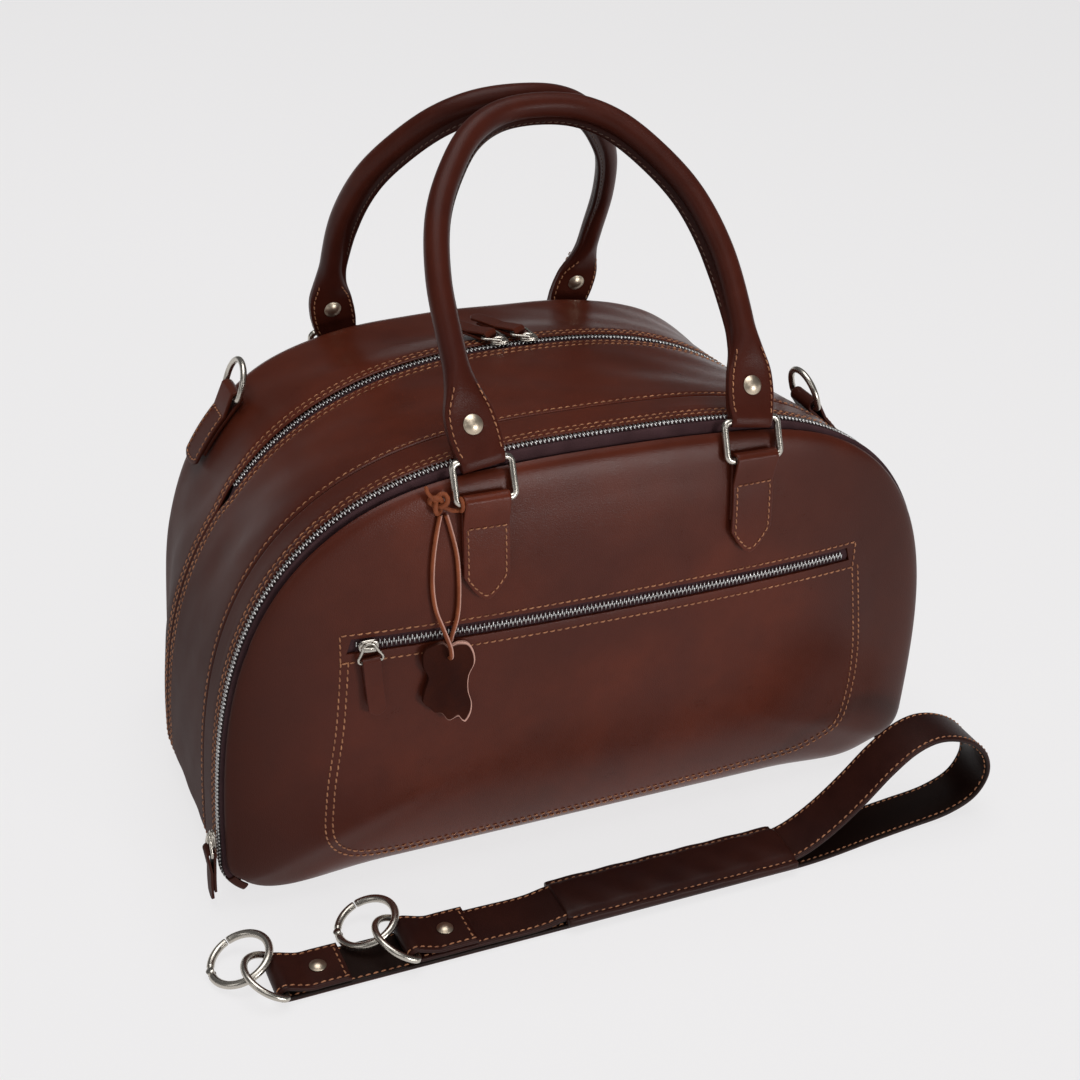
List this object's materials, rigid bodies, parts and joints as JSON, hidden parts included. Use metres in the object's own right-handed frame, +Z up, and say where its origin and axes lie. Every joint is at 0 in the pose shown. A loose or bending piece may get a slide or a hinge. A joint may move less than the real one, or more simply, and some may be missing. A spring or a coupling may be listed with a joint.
{
  "type": "leather holdall bag",
  "caption": "Half-dome leather holdall with arched ring-mounted handles, zipped top, front and pocket, a hide-shaped charm and a folded shoulder strap with round clasps.",
  "frame": {"origin": "on the floor under the middle of the base", "axes": "+X to the right along the bag's length as seen from the front, +Y to the back, +Z up; the front panel faces -Y"},
  "size_m": [0.5005, 0.341, 0.4228],
  "materials": {
    "leather": "satin",
    "strap_leather": "satin",
    "suede": "matte",
    "zip_tape": "matte",
    "nickel": "polished"
  },
  "bodies": {
    "bag": {"pocket_slider": "nickel", "front_slider": "nickel", "main_left_slider": "nickel", "main_right_slider": "nickel", "strap_rivet_left": "nickel", "strap_rivet_right": "nickel", "strap_ring_left": "nickel", "strap_ring_right": "nickel", "clasp_left": "nickel", "clasp_right": "nickel", "base": "leather", "front_panel": "leather", "back_panel": "leather", "front_band": "leather", "front_side": "leather", "back_side": "leather", "front_chape_left": "leather", "front_chape_right": "leather", "rear_chape_left": "leather", "rear_chape_right": "leather", "end_tab_left": "leather", "end_tab_right": "leather", "pocket_pull": "leather", "front_pull": "leather", "main_left_pull": "leather", "main_right_pull": "leather", "charm_knot": "leather", "strap_pad": "leather", "strap": "strap_leather", "charm_thong": "strap_leather", "charm_hide": "suede", "main_zip": "zip_tape", "front_zip": "zip_tape", "pocket_zip": "zip_tape"},
    "front_grip": {"front_handle": "leather", "front_ring_left": "nickel", "front_ring_right": "nickel", "front_rivet_left": "nickel", "front_rivet_right": "nickel"},
    "rear_grip": {"rear_handle": "leather", "rear_ring_left": "nickel", "rear_ring_right": "nickel", "rear_rivet_left": "nickel", "rear_rivet_right": "nickel"},
    "ring_left": {"end_ring_left": "nickel"},
    "ring_right": {"end_ring_right": "nickel"},
    "gate_left": {"clasp_gate_left": "nickel"},
    "gate_right": {"clasp_gate_right": "nickel"}
  },
  "joints": [
    {"name": "front_handle_swing", "type": "hinge", "parent": "bag", "child": "front_grip", "pos_m": [0, -0.13323, 0.24902], "axis": [1, 0, 0], "range_deg": [0, 160]},
    {"name": "rear_handle_swing", "type": "hinge", "parent": "bag", "child": "rear_grip", "pos_m": [0, 0.12537, 0.2204], "axis": [-1, 0, 0], "range_deg": [0, 160]},
    {"name": "left_ring_swing", "type": "hinge", "parent": "bag", "child": "ring_left", "pos_m": [-0.16385, 0.08, 0.22878], "axis": [0, -1, 0], "range_deg": [-46, 135]},
    {"name": "right_ring_swing", "type": "hinge", "parent": "bag", "child": "ring_right", "pos_m": [0.17024, -0.048, 0.235], "axis": [0, 1, 0], "range_deg": [-46, 135]},
    {"name": "left_gate", "type": "hinge", "parent": "bag", "child": "gate_left", "pos_m": [-0.25102, -0.17278, 0.00296], "axis": [0.3583, 0.0063, -0.9336], "range_deg": [0, 25], "stiffness_Nm_per_rad": 0.05, "springref_deg": -17.19},
    {"name": "right_gate", "type": "hinge", "parent": "bag", "child": "gate_right", "pos_m": [-0.17725, -0.17011, 0.00587], "axis": [0.3505, -0.0307, -0.9361], "range_deg": [0, 25], "stiffness_Nm_per_rad": 0.05, "springref_deg": -17.19}
  ]
}
